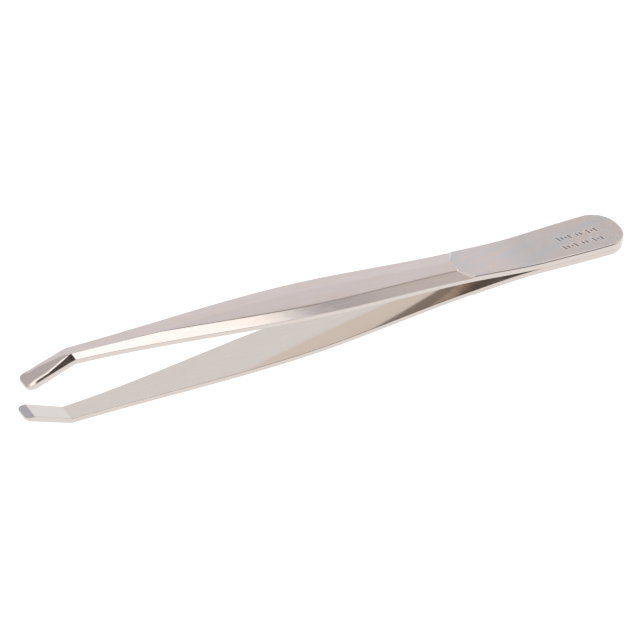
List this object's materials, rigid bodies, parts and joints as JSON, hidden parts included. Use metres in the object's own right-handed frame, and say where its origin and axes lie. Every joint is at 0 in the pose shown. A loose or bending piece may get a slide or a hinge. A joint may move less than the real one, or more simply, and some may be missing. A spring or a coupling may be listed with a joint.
{
  "type": "slant tweezers",
  "caption": "Spring tweezers: bowed steel blades welded at a rounded tail, bevelled arms, and tips bent inwards that close on short flat biting faces.",
  "frame": {"origin": "centre of the bounding box, which lies on the middle plane between the blades, halfway from the tail end to the tips", "axes": "+X along the blades towards the welded tail, +Y across the blades, +Z the way the upper blade opens"},
  "size_m": [0.095, 0.008, 0.0108],
  "materials": {
    "satin_steel": "satin, with a faint blue and pink temper tint",
    "ground_steel": "ground along the blade and lightly polished",
    "weld_metal": "dull fused steel, hidden between the plates"
  },
  "bodies": {
    "tail": {"upper_tail_plate": "satin_steel", "lower_tail_plate": "satin_steel", "weld_nugget_rear": "weld_metal", "weld_nugget_front": "weld_metal"},
    "upper_arm_body": {"upper_arm": "ground_steel"},
    "lower_arm_body": {"lower_arm": "ground_steel"}
  },
  "joints": [
    {"name": "upper_flex", "type": "hinge", "parent": "tail", "child": "upper_arm_body", "pos_m": [0.0199, 0, 0.00134], "axis": [0, -1, 0], "range_deg": [0, 1.98], "stiffness_Nm_per_rad": 2.44},
    {"name": "lower_flex", "type": "hinge", "parent": "tail", "child": "lower_arm_body", "pos_m": [0.0199, 0, -0.00134], "axis": [0, 1, 0], "range_deg": [0, 1.98], "stiffness_Nm_per_rad": 2.44}
  ],
  "couplings": [
    {"joint": "lower_flex", "follows": "upper_flex", "ratio": 1}
  ]
}
